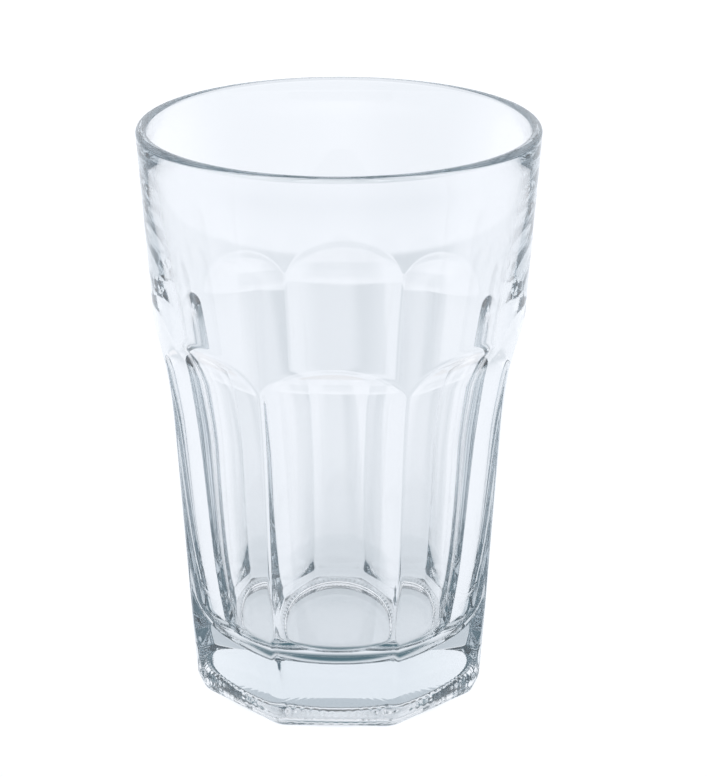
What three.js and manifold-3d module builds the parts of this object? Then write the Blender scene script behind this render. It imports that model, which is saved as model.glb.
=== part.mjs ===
// A highball glass: a pressed glass tumbler with a round drinking band, a ring of scooped flats
// and a many-sided foot. Millimetres, +Z up, standing on z = 0 with one flat facing -Y.

import * as THREE from 'three';
import { mergeVertices, toCreasedNormals } from 'three/addons/utils/BufferGeometryUtils.js';
import Module from 'manifold-3d';

// Outside of the round body, before the flats are pressed into it
const glassHeight = 125;
const mouthDiameter = 84.6;
const bandDraft = 3.83;

// Flats: each is plane up to scoopStartHeight, eases outwards on a wide arc until it leans by
// scoopEaseLean, and then runs out through the band on a tighter arc, which leaves an arched edge
const flatCount = 8;
const flatDepth = 3.71;
const flatDraft = 3.45;
const scoopStartHeight = 63;
const scoopEaseRadius = 137;
const scoopEaseLean = 8.85;
const scoopHeadRadius = 18;

// Flattening along each ridge between two flats, measured square to the ridge
const ridgeEase = 0.15;

// Bevel round the bottom of the foot
const bevelHeight = 3.8;
const bevelInset = 1.6;

// Rounded lip, and the glass left behind each flat where its scoop starts
const lipThickness = 2.3;
const flatWall = 2.5;

// Floor inside the glass
const floorThickness = 12.2;
const floorFillet = 9;

// Recess under the floor, inside the ring that the glass stands on
const recessDiameter = 48;
const recessDepth = 2.8;

// Fineness of the faceted solid
const roundSegments = 96;
const arcSegments = 5;

// Edges sharper than this are shaded as edges, and the facets of a round face as one smooth face
const creaseAngle = 18;

// How far the cutters reach past the glass
const cutterMargin = 5;

const radians = THREE.MathUtils.degToRad;
const mouthRadius = mouthDiameter / 2;
const bandSlope = Math.tan(radians(bandDraft));
const flatSlope = Math.tan(radians(flatDraft));
const halfFlatAngle = Math.PI / flatCount;

// Radius of the round body at a height
function bandRadius(height) {
  return mouthRadius - bandSlope * (glassHeight - height);
}

// Distance from the axis to the plane part of a flat at a height
function flatDistance(height) {
  const startDistance = bandRadius(scoopStartHeight) - flatDepth;
  return startDistance + flatSlope * (height - scoopStartHeight);
}

const wasm = await Module();
wasm.setup();

// Turns closed three.js geometry into a solid that can be cut
function solidFrom(geometry) {
  const bare = geometry.clone();
  bare.deleteAttribute('normal');
  bare.deleteAttribute('uv');
  const welded = mergeVertices(bare);
  const corners = [];
  for (let i = 0; i < welded.index.count; i += 3) {
    const [a, b, c] = welded.index.array.slice(i, i + 3);
    // The triangles that a lathe leaves at its axis have two corners in one place
    if (a !== b && b !== c && c !== a) corners.push(a, b, c);
  }
  const mesh = new wasm.Mesh({
    numProp: 3,
    vertProperties: Float32Array.from(welded.attributes.position.array),
    triVerts: Uint32Array.from(corners),
  });
  return new wasm.Manifold(mesh);
}

// Turns a finished solid back into three.js geometry
function geometryFrom(solid) {
  const { vertProperties, triVerts } = solid.getMesh();
  const geometry = new THREE.BufferGeometry();
  geometry.setAttribute('position', new THREE.Float32BufferAttribute(vertProperties, 3));
  geometry.setIndex(new THREE.Uint32BufferAttribute(triVerts, 1));
  return toCreasedNormals(geometry, radians(creaseAngle));
}

// Half section of the glass before its flats are pressed: x is the radius and y the height
function blankSection() {
  const lipRadius = lipThickness / 2;
  const lipHeight = glassHeight - lipRadius;
  const outerLean = radians(bandDraft);
  const lipCentre = mouthRadius - lipRadius * (Math.tan(outerLean) + 1 / Math.cos(outerLean));

  // The inside is a cone from the lip past a point flatWall behind each flat
  const wallPoint = new THREE.Vector2(flatDistance(scoopStartHeight) - flatWall, scoopStartHeight);
  const toLip = new THREE.Vector2(lipCentre, lipHeight).sub(wallPoint);
  const innerLean = Math.atan2(toLip.x, toLip.y) - Math.asin(lipRadius / toLip.length());
  const innerSlope = Math.tan(innerLean);
  const innerRadius = (height) => wallPoint.x + innerSlope * (height - scoopStartHeight);

  // The fillet touches both the floor and the cone
  const filletHeight = floorThickness + floorFillet;
  const filletCentre = innerRadius(filletHeight) - floorFillet / Math.cos(innerLean);

  const recessRadius = recessDiameter / 2;
  const section = new THREE.Path();
  section.moveTo(0, recessDepth);
  section.lineTo(recessRadius - recessDepth, recessDepth);
  section.absarc(recessRadius - recessDepth, 0, recessDepth, Math.PI / 2, 0, true);
  section.lineTo(bandRadius(0), 0);
  section.absarc(lipCentre, lipHeight, lipRadius, -outerLean, Math.PI - innerLean, false);
  section.absarc(filletCentre, filletHeight, floorFillet, -innerLean, -Math.PI / 2, true);
  section.lineTo(0, floorThickness);
  return section.getPoints(arcSegments);
}

// The round blank, turned from its half section
function blankSolid() {
  const geometry = new THREE.LatheGeometry(blankSection(), roundSegments);
  geometry.rotateX(Math.PI / 2);
  return solidFrom(geometry);
}

// Outline of a flat down its middle, from below the foot to outside the band
function flatOutline() {
  const lean = radians(flatDraft);
  const easeLean = radians(scoopEaseLean);
  const bevelTop = flatDistance(bevelHeight);
  const bevelSlope = bevelInset / bevelHeight;

  // Each arc is tangent to what comes before it, so its centre lies square to it
  const easeStart = new THREE.Vector2(flatDistance(scoopStartHeight), scoopStartHeight);
  const easeCentre = easeStart.clone();
  easeCentre.x += scoopEaseRadius * Math.cos(lean);
  easeCentre.y -= scoopEaseRadius * Math.sin(lean);
  const headCentre = easeCentre.clone();
  headCentre.x -= (scoopEaseRadius - scoopHeadRadius) * Math.cos(easeLean);
  headCentre.y += (scoopEaseRadius - scoopHeadRadius) * Math.sin(easeLean);

  const outline = new THREE.Path();
  outline.moveTo(bevelTop - bevelInset - bevelSlope * cutterMargin, -cutterMargin);
  outline.lineTo(bevelTop, bevelHeight);
  outline.absarc(easeCentre.x, easeCentre.y, scoopEaseRadius, Math.PI - lean, Math.PI - easeLean, true);
  outline.absarc(headCentre.x, headCentre.y, scoopHeadRadius, Math.PI - easeLean, Math.PI / 2, true);
  return outline.getPoints(arcSegments);
}

// A block with the outline as its inner face, turned to face away from the axis at an angle
function cutterSolid(outline, angle) {
  const reach = Math.max(mouthRadius, outline.at(-1).x) + cutterMargin;
  const shape = new THREE.Shape(outline);
  shape.lineTo(reach, outline.at(-1).y);
  shape.lineTo(reach, outline[0].y);
  shape.closePath();
  const width = 2 * reach;
  const geometry = new THREE.ExtrudeGeometry(shape, { depth: width, bevelEnabled: false });
  geometry.translate(0, 0, -width / 2);
  geometry.rotateX(Math.PI / 2);
  geometry.rotateZ(angle);
  return solidFrom(geometry);
}

// The glass: the blank with its flats pressed in and the ridges between them eased
function tumblerGeometry() {
  const flat = flatOutline();
  const ridge = flat.map((point) => {
    return new THREE.Vector2(point.x / Math.cos(halfFlatAngle) - ridgeEase, point.y);
  });
  let glass = blankSolid();
  for (let i = 0; i < flatCount; i += 1) {
    const angle = -Math.PI / 2 + 2 * halfFlatAngle * i;
    glass = glass.subtract(cutterSolid(flat, angle));
    glass = glass.subtract(cutterSolid(ridge, angle + halfFlatAngle));
  }
  return geometryFrom(glass);
}

const clearGlass = new THREE.MeshStandardMaterial({
  color: 0xe8edf5,
  roughness: 0.02,
  metalness: 0,
  transparent: true,
  opacity: 0.35,
});

const tumbler = new THREE.Mesh(tumblerGeometry(), clearGlass);
tumbler.name = 'tumbler';

const highballGlass = new THREE.Group();
highballGlass.add(tumbler);

export default highballGlass;
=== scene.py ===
# %% [markdown]
# A highball glass, dressed for its portrait
#
# The glass is one piece of clear pressed glass: a round drinking band, eight scooped flats with
# arched heads, an eight-sided foot and a thick floor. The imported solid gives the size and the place
# of the glass. Here its surface is made again with rounded edges and many more faces, because clear
# glass shows every facet of a coarse mesh as a kink in what is seen through it.

# %% Load the frame
import math

import bpy
import numpy as np
from mathutils import Euler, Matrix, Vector


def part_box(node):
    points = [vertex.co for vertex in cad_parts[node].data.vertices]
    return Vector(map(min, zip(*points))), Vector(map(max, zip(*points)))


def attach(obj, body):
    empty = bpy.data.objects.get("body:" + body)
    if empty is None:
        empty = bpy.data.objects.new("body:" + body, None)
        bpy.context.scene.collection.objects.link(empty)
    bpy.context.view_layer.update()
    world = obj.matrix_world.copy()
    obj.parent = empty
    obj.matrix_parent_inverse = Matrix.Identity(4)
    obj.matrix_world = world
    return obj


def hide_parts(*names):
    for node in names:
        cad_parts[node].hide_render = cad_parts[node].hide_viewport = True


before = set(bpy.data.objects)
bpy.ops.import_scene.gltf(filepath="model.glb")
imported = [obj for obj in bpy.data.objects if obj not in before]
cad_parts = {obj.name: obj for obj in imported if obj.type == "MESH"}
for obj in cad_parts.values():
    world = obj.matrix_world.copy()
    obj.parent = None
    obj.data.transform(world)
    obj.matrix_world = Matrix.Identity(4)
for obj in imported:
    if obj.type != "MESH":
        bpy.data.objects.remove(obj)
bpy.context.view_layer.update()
MM = 0.001

# %% [markdown]
# The camera
#
# The photograph was taken with a long lens from a little above the rim. A camera could be moved by
# hand until the picture looks right. Here its distance, height, tilt and lens were worked out from
# the ellipse of the rim, the polygon of the foot and the outline, so they are real distances from
# the glass, in millimetres, and the perspective is right as well as the framing. Blender lays the
# sensor along the longer side of the picture, which is its height here.

# %% Place the camera
PHOTO_SIZE = (707, 777)
FOCAL_PIXELS = 2555.5
CAMERA_DISTANCE = 516.4
CAMERA_HEIGHT = 258.1
CAMERA_SIDE = 3.0
CAMERA_TILT = 20.38
CAMERA_TURN = math.radians(1.6)
SENSOR = 36.0
NEAREST_SEEN = 0.01
FARTHEST_SEEN = 20.0

scene = bpy.context.scene
camera_data = bpy.data.cameras.new("camera")
camera_data.sensor_width = SENSOR
camera_data.lens = SENSOR * FOCAL_PIXELS / max(PHOTO_SIZE)
camera_data.clip_start = NEAREST_SEEN
camera_data.clip_end = FARTHEST_SEEN
camera = bpy.data.objects.new("camera", camera_data)
place = Vector((CAMERA_SIDE, -CAMERA_DISTANCE, CAMERA_HEIGHT)) * MM
place.rotate(Euler((0.0, 0.0, CAMERA_TURN)))
camera.location = place
camera.rotation_euler = (math.radians(90.0 - CAMERA_TILT), 0.0, CAMERA_TURN)
scene.collection.objects.link(camera)
scene.camera = camera
print(f"lens {camera_data.lens:.1f} mm, {place.length:.3f} m from the middle of the foot")

# %% [markdown]
# The outside of the glass
#
# The mould gives the outside its shape: a round band with eight flats pressed into it. A turned body
# with eight Boolean cuts and a Bevel modifier would be the usual way, but the flats meet the band at
# such a shallow angle that a bevel breaks up along the arches. So the radius is worked out instead.
# At every height the outside is the smaller of two shapes, the round band and the flats. A plain
# minimum would leave knife edges. A soft minimum rounds each edge by a chosen amount, as fire
# polishing does on the real glass.

# %% Measure the round band
LIP_RADIUS = 1.15
BAND_LEAN = math.radians(3.83)

tumbler_low, tumbler_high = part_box("tumbler")
GLASS_HEIGHT = tumbler_high.z / MM
LIP_OVERHANG = LIP_RADIUS * (math.tan(BAND_LEAN) + 1 / math.cos(BAND_LEAN) - 1)
MOUTH_RADIUS = tumbler_high.x / MM + LIP_OVERHANG
print(f"glass {GLASS_HEIGHT:.1f} mm tall, mouth {2 * MOUTH_RADIUS:.1f} mm wide")
print(f"it stands at {tumbler_low.z / MM:.2f} mm")


def band_radius(height):
    """Radius of the round band, or of its line carried on down through the foot."""
    return MOUTH_RADIUS - math.tan(BAND_LEAN) * (GLASS_HEIGHT - height)


# %% [markdown]
# One flat
#
# From the foot up, a flat is a bevel, then a plane that leans out by a few degrees, then a wide arc
# that eases outwards, and then a tighter arc that runs out through the band. That last arc is what
# draws the arched head. The two arcs are tangent to what comes before them, so no line shows on
# the flat, and a single function of the height can say how far the flat lies from the axis.

# %% Shape one flat
FLAT_COUNT = 8
FLAT_DEPTH = 3.71
FLAT_LEAN = math.radians(3.45)
SCOOP_START = 63.0
EASE_RADIUS = 137.0
EASE_LEAN = math.radians(8.85)
HEAD_RADIUS = 18.0
BEVEL_HEIGHT = 3.8
BEVEL_INSET = 1.6
BEVEL_SOFTNESS = 0.3
CLEAR_OF_GLASS = 60.0


def soft_min(a, b, softness):
    """The smaller of a and b, blended where they differ by less than softness."""
    blend = np.maximum(softness - np.abs(a - b), 0.0) / softness
    return np.minimum(a, b) - blend * blend * softness / 4


def flat_distance(height):
    """How far the middle of a flat lies from the axis of the glass."""
    height = np.asarray(height, float)
    start = band_radius(SCOOP_START) - FLAT_DEPTH
    plane = start + math.tan(FLAT_LEAN) * (height - SCOOP_START)
    foot = start + math.tan(FLAT_LEAN) * (BEVEL_HEIGHT - SCOOP_START)
    bevel = foot - BEVEL_INSET * (1 - height / BEVEL_HEIGHT)

    ease_x = start + EASE_RADIUS * math.cos(FLAT_LEAN)
    ease_z = SCOOP_START - EASE_RADIUS * math.sin(FLAT_LEAN)
    ease = ease_x - np.sqrt(np.maximum(EASE_RADIUS**2 - (height - ease_z) ** 2, 0.0))

    head_x = ease_x - (EASE_RADIUS - HEAD_RADIUS) * math.cos(EASE_LEAN)
    head_z = ease_z + (EASE_RADIUS - HEAD_RADIUS) * math.sin(EASE_LEAN)
    head_start = head_z + HEAD_RADIUS * math.sin(EASE_LEAN)
    head = head_x - np.sqrt(np.maximum(HEAD_RADIUS**2 - (height - head_z) ** 2, 0.0))

    distance = np.where(height > SCOOP_START, ease, soft_min(plane, bevel, BEVEL_SOFTNESS))
    distance = np.where(height > head_start, head, distance)
    return np.where(height > head_z + HEAD_RADIUS, CLEAR_OF_GLASS, distance)


for height in (0.0, BEVEL_HEIGHT, SCOOP_START):
    print(f"a flat lies {float(flat_distance(height)):.2f} mm from the axis at {height:.1f} mm")

# %% Bring the band and the flats together
HALF_FLAT = math.pi / FLAT_COUNT
RIDGE_SOFTNESS = 0.55
FOOT_RIDGE_SOFTNESS = 1.5
FOOT_TOP = (9.0, 16.0)
ARCH_RADIUS = 5.0
ARCH_TURNS = (0.02, 0.75)
SLOPE_STEP = 0.05


def arch_softness(height):
    """Softness that rounds the arch's edge to one radius, however steeply the flat meets the band."""
    rise = flat_distance(height + SLOPE_STEP) - flat_distance(height - SLOPE_STEP)
    turn = np.clip(np.arctan(rise / (2 * SLOPE_STEP)) - BAND_LEAN, *ARCH_TURNS)
    return ARCH_RADIUS * turn**2 / 2


def outer_radius(angle, height):
    """Radius of the outside at an angle from the front of the glass and a height."""
    turn = np.abs((angle + HALF_FLAT) % (2 * HALF_FLAT) - HALF_FLAT)
    distance = flat_distance(height)
    softness = np.interp(height, FOOT_TOP, (FOOT_RIDGE_SOFTNESS, RIDGE_SOFTNESS))
    pressed = soft_min(
        distance / np.cos(turn),
        distance / np.cos(2 * HALF_FLAT - turn),
        softness,
    )
    return soft_min(pressed, band_radius(height), arch_softness(height))


middle = float(outer_radius(0.0, SCOOP_START))
ridge = float(outer_radius(HALF_FLAT, SCOOP_START))
print(f"at {SCOOP_START:.0f} mm: flat {middle:.2f}, ridge {ridge:.2f} mm")

# %% [markdown]
# Lip and inside
#
# A plunger shapes the inside, and it has to draw straight out, so the inside is round and opens
# upwards. It is nearly a cone. It bows outwards by less than a millimetre over the floor and under
# the rim, which makes the wall more even, and that matters here: an uneven wall works as a lens and
# draws dark patches near the edges of the glass. Its thickness can't be measured in the photograph,
# so it was chosen by what the glass bends into view. The inside meets the floor on a fillet and the
# band on a fully rounded lip. It could be turned from a curve with a Screw modifier. A list of
# points is used instead, because the same points then become rows of the mesh.

# %% Bow the inner wall
FLOOR_HEIGHT = 12.2
UPPER_BOW = 0.5
LOWER_BOW = 0.8
LOWER_BOW_HEIGHT = 30.0
# The upper bow follows share squared times (1 - share), and this scale brings its top to 1
BOW_SCALE = 6.75
BOW_TOP = 2 / 3

lip_height = GLASS_HEIGHT - LIP_RADIUS
lip_centre = MOUTH_RADIUS - LIP_RADIUS * (math.tan(BAND_LEAN) + 1 / math.cos(BAND_LEAN))


def smooth_step(value, start, end):
    """A smooth change from 0 at start to 1 at end."""
    share = np.clip((value - start) / (end - start), 0.0, 1.0)
    return share * share * (3 - 2 * share)


def wall_bow(height):
    """How far the inside bulges outwards from a plain cone, over and under the scoops' start."""
    share = np.clip((height - SCOOP_START) / (lip_height - SCOOP_START), 0.0, 1.0)
    upper = UPPER_BOW * BOW_SCALE * share**2 * (1 - share)
    rise = smooth_step(height, FLOOR_HEIGHT, LOWER_BOW_HEIGHT)
    return upper + LOWER_BOW * rise * smooth_step(height, SCOOP_START, LOWER_BOW_HEIGHT)


upper_bow_height = SCOOP_START + BOW_TOP * (lip_height - SCOOP_START)
for height in (LOWER_BOW_HEIGHT, SCOOP_START, upper_bow_height):
    print(f"the wall bows by {float(wall_bow(height)):.2f} mm at {height:.0f} mm")

# %% Shape the lip and the inside
FLAT_WALL = 2.5
FLOOR_FILLET = 9.0
LIP_STEPS = 16
FILLET_STEPS = 18
UPPER_WALL_STEPS = 12
LOWER_WALL_STEPS = 8
FLOOR_STEPS = 3


def steps_between(start, end, steps):
    """Evenly spaced values after start, up to end and with it."""
    return np.linspace(start, end, steps + 1)[1:]


def arc(centre_r, centre_z, radius, start, end, steps):
    """Points (radius, height) along an arc, its two ends included."""
    turns = np.linspace(start, end, steps + 1)
    return [(centre_r + radius * math.cos(t), centre_z + radius * math.sin(t)) for t in turns]


def inside_points():
    """Points (radius, height) from the lip's outer side, over it and down to the floor's middle."""
    wall_r = float(flat_distance(SCOOP_START)) - FLAT_WALL
    across, up = lip_centre - wall_r, lip_height - SCOOP_START
    lean = math.atan2(across, up) - math.asin(LIP_RADIUS / math.hypot(across, up))
    fillet_z = FLOOR_HEIGHT + FLOOR_FILLET
    cone_r = wall_r + math.tan(lean) * (fillet_z - SCOOP_START)
    fillet_r = cone_r - FLOOR_FILLET / math.cos(lean)

    lip = arc(lip_centre, lip_height, LIP_RADIUS, -BAND_LEAN, math.pi - lean, LIP_STEPS)
    fillet = arc(fillet_r, fillet_z, FLOOR_FILLET, -lean, -math.pi / 2, FILLET_STEPS)
    heights = np.concatenate([
        steps_between(lip[-1][1], SCOOP_START, UPPER_WALL_STEPS),
        steps_between(SCOOP_START, fillet[0][1], LOWER_WALL_STEPS)[:-1],
    ])
    cone = [(wall_r + math.tan(lean) * (z - SCOOP_START), z) for z in heights]
    wall = [(r + wall_bow(z), z) for r, z in cone + fillet]
    floor = [(r, FLOOR_HEIGHT) for r in steps_between(fillet_r, 0.0, FLOOR_STEPS)[:-1]]
    return lip + wall + floor


inside = inside_points()
print(f"half section of the lip and the inside: {len(inside)} points, starting at {inside[0][1]:.2f} mm")

# %% [markdown]
# The underside
#
# The glass stands on a narrow ring round a shallow recess, so that a bulge in the middle can't
# make it rock. Through the thick floor and the bevel, a broken bright line and flecks are seen. Fine
# ribs across the recess's wall and the ring are a guess at what makes them, because the underside
# itself is hidden. A bump in the material could fake ribs on an opaque piece, but what glass bends
# into view depends on its real surface, so they are in the mesh.

# %% Shape the underside
RECESS_RADIUS = 24.0
RECESS_DEPTH = 2.8
RIB_RING = (RECESS_RADIUS - RECESS_DEPTH, 26.4)
RIB_COUNT = 72
RIB_DEPTH = 0.12


def underside_height(angle, radius):
    """Height of the underside over the table: a recess, then the standing ring, with fine ribs."""
    edge = np.clip((RECESS_RADIUS - radius) / RECESS_DEPTH, 0.0, 1.0)
    recess = RECESS_DEPTH * np.sqrt(1 - (1 - edge) ** 2)
    across = np.clip((radius - RIB_RING[0]) / (RIB_RING[1] - RIB_RING[0]), 0.0, 1.0)
    grooves = np.sin(math.pi * across) * (0.5 - 0.5 * np.cos(RIB_COUNT * angle))
    return recess + RIB_DEPTH * grooves


floor_thickness = FLOOR_HEIGHT - float(underside_height(0.0, 0.0))
print(f"{RIB_COUNT} ribs, {RIB_DEPTH:.2f} mm deep; floor {floor_thickness:.1f} mm thick over the recess")

# %% [markdown]
# One closed mesh
#
# The whole surface is a grid: rows run round the glass, and the stack of rows starts under the
# middle of the foot, goes out and up the outside, over the lip and down to the middle of the
# floor. A Remesh or Subdivision modifier would spread its faces evenly and round what should stay
# crisp. In a grid, rows can be packed closely where the shape turns fast, at the foot's edge and
# in the scooped heads, and columns at the ridges. It is also easy to keep closed, which glass needs.

# %% Space the columns
COLUMNS = 624
COLUMN_CROWDING = 0.45


def column_angles():
    """Angles round the glass, closer together at the ridges than in the middle of a flat."""
    step = np.arange(COLUMNS) * FLAT_COUNT / COLUMNS
    crowd = COLUMN_CROWDING * np.sin(2 * math.pi * step) / (2 * math.pi)
    return (step + crowd) * 2 * HALF_FLAT


angles = column_angles()
ring = np.ones_like(angles)
print(f"columns: {COLUMNS}, which is {COLUMNS // FLAT_COUNT} to a flat")

# %% Lay the rows under the foot and round its edge
EDGE_ROUND = 0.7
RECESS_STEPS = 3
RECESS_WALL_STEPS = 10
STANDING_STEPS = 7
FOOT_STEPS = 3
EDGE_STEPS = 6


def underside_rows():
    """Rows of (radius, height) from the underside's middle to the end of the ribs."""
    wall_turns = np.linspace(0.0, math.pi / 2, RECESS_WALL_STEPS + 1)
    radii = np.concatenate([
        steps_between(0.0, RIB_RING[0], RECESS_STEPS)[:-1],
        RIB_RING[0] + RECESS_DEPTH * np.sin(wall_turns),
        steps_between(RECESS_RADIUS, RIB_RING[1], STANDING_STEPS),
    ])
    return [(radius * ring, underside_height(angles, radius * ring)) for radius in radii]


def edge_rows():
    """Rows of (radius, height) out to the foot's edge and round it."""
    inner = RIB_RING[1]
    foot = outer_radius(angles, 0.0)
    above = outer_radius(angles, EDGE_ROUND)
    rows = []
    for share in steps_between(0.0, 1.0, FOOT_STEPS)[:-1]:
        rows.append((inner + (foot - EDGE_ROUND - inner) * share, 0.0 * ring))
    for t in np.linspace(0.0, 1.0, EDGE_STEPS + 1)[:-1]:
        radius = (1 - t) ** 2 * (foot - EDGE_ROUND) + 2 * t * (1 - t) * foot + t * t * above
        rows.append((radius, t * t * EDGE_ROUND * ring))
    return rows


rows = underside_rows() + edge_rows()
print(f"rows under the foot and round its edge: {len(rows)}")

# %% Lay the rows up the outside and down the inside
# Each stretch of the outside has a top height and a number of rows
STRETCHES = ((8.0, 11), (17.0, 4), (62.0, 3), (76.0, 8), (89.0, 43))
BAND_STEPS = 3

heights = [EDGE_ROUND]
for top, steps in STRETCHES:
    heights += steps_between(heights[-1], top, steps).tolist()
heights += steps_between(heights[-1], inside[0][1], BAND_STEPS)[:-1].tolist()
rows += [(outer_radius(angles, height), height * ring) for height in heights]
rows += [(radius * ring, height * ring) for radius, height in inside]
print(f"rows in all: {len(rows)}")


# %% Build the mesh
def glass_mesh(name):
    """The closed mesh of the glass, in metres."""
    radius = np.array([row[0] for row in rows])
    height = np.array([row[1] for row in rows])
    grid = np.stack([radius * np.sin(angles), -radius * np.cos(angles), height], axis=-1)
    count, columns = radius.shape
    under_middle = (0.0, 0.0, float(underside_height(0.0, 0.0)))
    floor_middle = (0.0, 0.0, FLOOR_HEIGHT)
    points = np.concatenate([grid.reshape(-1, 3), [under_middle, floor_middle]]) * MM
    under_index, floor_index = count * columns, count * columns + 1

    here = np.arange(columns)
    after = (here + 1) % columns
    faces = []
    for i in range(count - 1):
        low, high = i * columns, (i + 1) * columns
        faces += np.stack([low + here, low + after, high + after, high + here], 1).tolist()
    last = (count - 1) * columns
    pairs = list(zip(here.tolist(), after.tolist()))
    faces += [(under_index, b, a) for a, b in pairs]
    faces += [(floor_index, last + a, last + b) for a, b in pairs]

    mesh = bpy.data.meshes.new(name)
    mesh.from_pydata(points.tolist(), [], faces)
    mesh.update()
    mesh.shade_smooth()
    return mesh


# %% Put the glass in its frame
glass = bpy.data.objects.new("glass", glass_mesh("glass"))
scene.collection.objects.link(glass)
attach(glass, "root")
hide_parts("tumbler")
print(f"glass mesh: {len(glass.data.vertices)} points, {len(glass.data.polygons)} faces")

# %% [markdown]
# Clear glass
#
# Soda-lime glass bends light by about 1.52. It is almost colourless, but where the eye looks along
# the wall instead of through it, the path is long and a cool green-blue tint builds up. A surface
# colour alone would tint thin and thick places alike. So most of the tint is inside the glass, in a
# Volume Absorption shader, and the surface takes only a few hundredths of the light that goes through.

# %% Mix the glass
GLASS_IOR = 1.52
CLEARNESS = (0.955, 0.96, 0.965, 1.0)
TINT = (0.46, 0.55, 0.60, 1.0)
TINT_DENSITY = 12.3

clear_glass = bpy.data.materials.new("clear_glass")
clear_glass.use_nodes = True
tree = clear_glass.node_tree
shader = tree.nodes["Principled BSDF"]
shader.inputs["Base Color"].default_value = CLEARNESS
shader.inputs["Roughness"].default_value = 0.0
shader.inputs["IOR"].default_value = GLASS_IOR
shader.inputs["Transmission Weight"].default_value = 1.0
absorption = tree.nodes.new("ShaderNodeVolumeAbsorption")
absorption.inputs["Color"].default_value = TINT
absorption.inputs["Density"].default_value = TINT_DENSITY
tree.links.new(absorption.outputs["Volume"], tree.nodes["Material Output"].inputs["Volume"])
glass.data.materials.append(clear_glass)

floor_path = floor_thickness * MM
kept = [math.exp(-(1 - share) * TINT_DENSITY * floor_path) for share in TINT[:3]]
print("red, green and blue kept on the way through the floor:", [round(v, 3) for v in kept])

# %% [markdown]
# The pale floor
#
# The photograph's surround is plain white, with no edge and no cast shadow in it. A white floor under
# lamps could be pushed to white too, but it would be noisy and its brightness hard to hold. This
# floor glows by itself, so that its brightness at each place is a number. A few Math and Map Range
# nodes work that number out from the place on the floor alone. Two small helpers keep them readable.

# %% Lay the floor
FLOOR_SIZE = 4.0
FLOOR_DROP = 0.0002

half = FLOOR_SIZE / 2
around = ((-half, -half), (half, -half), (half, half), (-half, half))
floor_mesh = bpy.data.meshes.new("floor")
floor_mesh.from_pydata([(x, y, -FLOOR_DROP) for x, y in around], [], [(0, 1, 2, 3)])
floor = bpy.data.objects.new("floor", floor_mesh)
scene.collection.objects.link(floor)
print(f"floor {FLOOR_SIZE:.0f} m wide, {FLOOR_DROP / MM:.1f} mm below the glass")


# %% Make two node helpers
def sum_node(tree, operation, a, b):
    """The result of a math node; a and b are numbers or sockets."""
    node = tree.nodes.new("ShaderNodeMath")
    node.operation = operation
    for socket, value in zip(node.inputs, (a, b)):
        if isinstance(value, (int, float)):
            socket.default_value = value
        else:
            tree.links.new(value, socket)
    return node.outputs["Value"]


def ramp_node(tree, value, start, end, before, after):
    """A smooth change from one number, before start, to another, after end."""
    node = tree.nodes.new("ShaderNodeMapRange")
    node.interpolation_type = "SMOOTHSTEP"
    tree.links.new(value, node.inputs["Value"])
    node.inputs["From Min"].default_value = start
    node.inputs["From Max"].default_value = end
    node.inputs["To Min"].default_value = before
    node.inputs["To Max"].default_value = after
    return node.outputs["Result"]


# %% Find the place on the floor
# The shade behind the glass runs this much to the left for each metre it goes back
SHADE_LEAN = 0.033747

pale_floor = bpy.data.materials.new("pale_floor")
pale_floor.use_nodes = True
tree = pale_floor.node_tree
tree.nodes.clear()
geometry = tree.nodes.new("ShaderNodeNewGeometry")
position = geometry.outputs["Position"]
split = tree.nodes.new("ShaderNodeSeparateXYZ")
tree.links.new(position, split.inputs["Vector"])
away = split.outputs["Y"]
lean = sum_node(tree, "MULTIPLY", away, SHADE_LEAN)
across = sum_node(tree, "ADD", split.outputs["X"], lean)
side = sum_node(tree, "ABSOLUTE", across, 0.0)
print(f"the floor's middle line leans by {math.degrees(math.atan(SHADE_LEAN)):.1f} degrees")

# %% [markdown]
# Light on the floor
#
# Near the glass the floor is evenly bright, and white in the photograph's view. It falls off softly
# towards the camera and to the sides. That hardly shows in the photograph's view, and gives the
# other views a floor that looks softly lit. Beyond a line behind the glass, where the far end of a
# table would be, it is a little brighter. Lamps could do all this, but a smooth ramp for each is
# easier to place. The amounts were found by comparing renders with the photograph.

# %% Light the floor
FRONT = (-0.40, -0.045)
FRONT_LIGHT = 0.7
SIDES = (0.10, 0.45)
SIDE_LIGHT = 0.7
PICTURE_SPREAD = 0.13
EDGE = (0.240, 0.248)
EDGE_GAIN = 1.08

strength = ramp_node(tree, away, *FRONT, FRONT_LIGHT, 1.0)
strength = sum_node(tree, "MULTIPLY", strength, ramp_node(tree, away, *EDGE, 1.0, EDGE_GAIN))
behind = sum_node(tree, "MAXIMUM", away, 0.0)
spread = sum_node(tree, "MULTIPLY", behind, PICTURE_SPREAD)
aside = sum_node(tree, "SUBTRACT", side, spread)
strength = sum_node(tree, "MULTIPLY", strength, ramp_node(tree, aside, *SIDES, 1.0, SIDE_LIGHT))
print(f"light of the floor: {FRONT_LIGHT} in front, {SIDE_LIGHT} at the sides, {EDGE_GAIN} far behind")

# %% [markdown]
# Shade on the floor
#
# A glass in soft light keeps some of it off the table behind and under itself. A lamp's shadow through
# clear glass is a caustic, which is slow and noisy to render. So the shade is laid on the floor as a
# soft wedge behind the glass, where the glass hides it in the photograph's view. It is a little
# deeper close to the foot and to the right, and a faint rest of it goes on far behind. A disc
# under the foot is darkest at its front.

# %% Shade the floor behind the glass
SHADOW_SPREAD = 0.11
SHADOW_HALF_WIDTH = (0.0, 0.030)
SHADOW_DEPTH = 0.11
NEAR_SHADOW = 0.12
NEAR_SHADOW_END = (0.04, 0.11)
RIGHT_SHADOW = 0.10
RIGHT_SHADOW_START = (0.006, 0.022)
RIGHT_SHADOW_END = (0.020, 0.029)
SHADOW_START = (0.0, 0.03)
SHADOW_PAST_EDGE = 0.2

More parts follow.
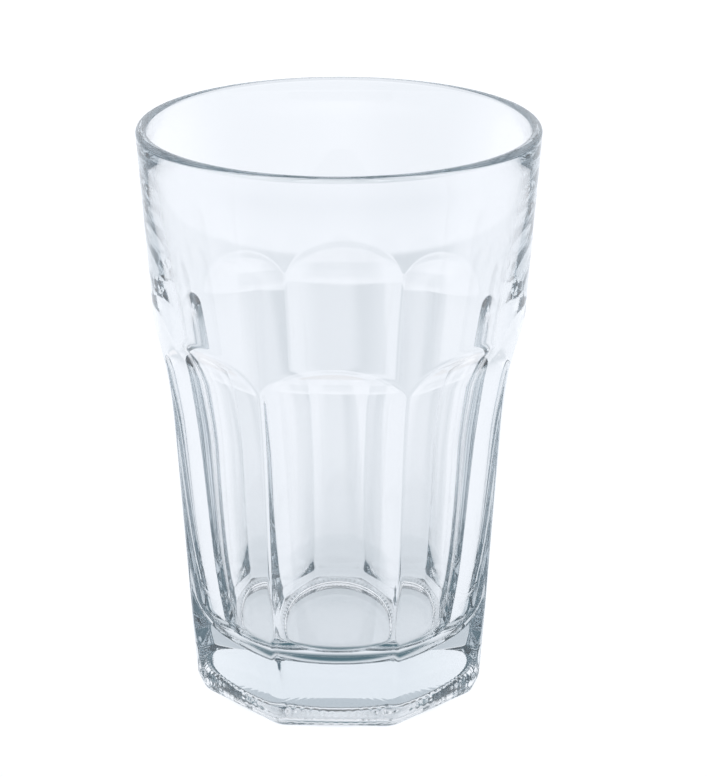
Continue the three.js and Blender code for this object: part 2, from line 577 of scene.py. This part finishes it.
beside = sum_node(tree, "SUBTRACT", side, sum_node(tree, "MULTIPLY", away, SHADOW_SPREAD))
shadow = ramp_node(tree, beside, *SHADOW_HALF_WIDTH, 1.0, 0.0)
depth = ramp_node(tree, away, *NEAR_SHADOW_END, SHADOW_DEPTH + NEAR_SHADOW, SHADOW_DEPTH)
shadow = sum_node(tree, "MULTIPLY", shadow, depth)
right = ramp_node(tree, across, *RIGHT_SHADOW_START, 0.0, RIGHT_SHADOW)
right = sum_node(tree, "MULTIPLY", right, ramp_node(tree, beside, *RIGHT_SHADOW_END, 1.0, 0.0))
shadow = sum_node(tree, "ADD", shadow, right)
shadow = sum_node(tree, "MULTIPLY", shadow, ramp_node(tree, away, *SHADOW_START, 0.0, 1.0))
shadow = sum_node(tree, "MULTIPLY", shadow, ramp_node(tree, away, *EDGE, 1.0, SHADOW_PAST_EDGE))
print(f"shade behind the glass: {SHADOW_DEPTH} of the light, {SHADOW_DEPTH + NEAR_SHADOW:.2f} near the foot")

# %% Carry a faint shade on far behind
FAR_SHADE_DEPTH = 0.07
FAR_SHADE_START = (0.25, 0.31)
FAR_SHADE_END = (0.44, 0.50)
FAR_SHADE_HALF_WIDTH = (0.0, 0.04)

# Painted shade: a faint strip of shade laid on the floor far behind the glass, taken off the floor's glow
far_shade = ramp_node(tree, away, *FAR_SHADE_START, 0.0, FAR_SHADE_DEPTH)
far_shade = sum_node(tree, "MULTIPLY", far_shade, ramp_node(tree, away, *FAR_SHADE_END, 1.0, 0.0))
far_shade = sum_node(tree, "MULTIPLY", far_shade, ramp_node(tree, beside, *FAR_SHADE_HALF_WIDTH, 1.0, 0.0))
shadow = sum_node(tree, "ADD", shadow, far_shade)
lit = sum_node(tree, "SUBTRACT", 1.0, shadow)
strength = sum_node(tree, "MULTIPLY", strength, lit)
print(f"the last of the shade ends {FAR_SHADE_END[1]:.2f} m behind the glass")

# %% Shade the floor under the foot
FOOT_SHADE_RADIUS = (0.024, 0.030)
FOOT_SHADE_FRONT = (-0.018, -0.010)
CONTACT_SHADE = 1.0
UNDER_SHADE = 0.27

# How far a place on the floor is from the glass's axis, with its height left out
level = tree.nodes.new("ShaderNodeVectorMath")
level.operation = "MULTIPLY"
level.inputs[1].default_value = (1.0, 1.0, 0.0)
tree.links.new(position, level.inputs[0])
apart = tree.nodes.new("ShaderNodeVectorMath")
apart.operation = "LENGTH"
tree.links.new(level.outputs["Vector"], apart.inputs[0])
under = ramp_node(tree, apart.outputs["Value"], *FOOT_SHADE_RADIUS, 1.0, 0.0)
front = ramp_node(tree, away, *FOOT_SHADE_FRONT, CONTACT_SHADE, UNDER_SHADE)
under = sum_node(tree, "MULTIPLY", under, front)
lit = sum_node(tree, "SUBTRACT", 1.0, under)
strength = sum_node(tree, "MULTIPLY", strength, lit)
print(f"shade under the foot: {UNDER_SHADE} of the light, {CONTACT_SHADE} at its front")

# %% Colour the floor
TABLE_LIGHT = (1.01, 1.035, 1.085)
SHADE_LIGHT = (0.05, 0.14, 0.18)


def light_mix(tree, dark, bright):
    """A mix node between two colours of light."""
    node = tree.nodes.new("ShaderNodeMix")
    node.data_type = "RGBA"
    node.inputs["A"].default_value = (*dark, 1.0)
    node.inputs["B"].default_value = (*bright, 1.0)
    return node


floor_light = light_mix(tree, SHADE_LIGHT, TABLE_LIGHT)
floor_light.clamp_factor = False
tree.links.new(strength, floor_light.inputs["Factor"])
emission = tree.nodes.new("ShaderNodeEmission")
tree.links.new(floor_light.outputs["Result"], emission.inputs["Color"])
output = tree.nodes.new("ShaderNodeOutputMaterial")
tree.links.new(emission.outputs["Emission"], output.inputs["Surface"])
floor_mesh.materials.append(pale_floor)
print(f"floor material: {len(tree.nodes)} nodes")

# %% [markdown]
# Studio light
#
# Clear glass only shows what it bends into view or mirrors. One large soft panel behind it gives the
# brightness, and a darker room on the camera's side and overhead gives much of the dark in its thin
# lines: with a bright room, about half of that is lost. Area lamps are the usual way to make a
# panel, but a lamp's edge shows in clear glass as a hard line. The World background gives a panel
# with soft edges, by smooth ramps over the direction.

# %% Light the studio
PANEL_LIGHT = (1.0, 1.0, 1.03)
ROOM_LIGHT = (0.12, 0.20, 0.24)
PANEL_SIDE = (-0.1, 0.5)
PANEL_GAIN = 1.26
PANEL_FOOT = (0.10, 0.30)
OVERHEAD = (0.60, 0.90)
OVERHEAD_LIGHT = 0.3

world = bpy.data.worlds.new("studio")
scene.world = world
world.use_nodes = True
sky = world.node_tree
background = sky.nodes["Background"]
direction = sky.nodes.new("ShaderNodeTexCoord")
split = sky.nodes.new("ShaderNodeSeparateXYZ")
sky.links.new(direction.outputs["Generated"], split.inputs["Vector"])
sky_light = light_mix(sky, ROOM_LIGHT, PANEL_LIGHT)
sky.links.new(ramp_node(sky, split.outputs["Y"], *PANEL_SIDE, 0.0, 1.0), sky_light.inputs["Factor"])
sky.links.new(sky_light.outputs["Result"], background.inputs["Color"])
low = ramp_node(sky, split.outputs["Z"], *PANEL_FOOT, 1.0, PANEL_GAIN)
high = ramp_node(sky, split.outputs["Z"], *OVERHEAD, 1.0, OVERHEAD_LIGHT)
sky.links.new(sum_node(sky, "MULTIPLY", low, high), background.inputs["Strength"])
print(f"studio light: panel {PANEL_GAIN}, overhead {OVERHEAD_LIGHT} of it")

# %% [markdown]
# Light paths and tones
#
# Light crosses many surfaces inside a thick foot, and each crossing uses up one of the renderer's
# bounces. With too few, the foot turns black. The Standard view keeps white as white. The softer
# views that suit sunny scenes would turn the white surround grey.

# %% Set the light paths
LIGHT_BOUNCES = 128

scene.view_settings.view_transform = "Standard"
scene.cycles.max_bounces = LIGHT_BOUNCES
scene.cycles.transmission_bounces = LIGHT_BOUNCES
scene.cycles.glossy_bounces = LIGHT_BOUNCES
print(f"light may bounce {scene.cycles.max_bounces} times")
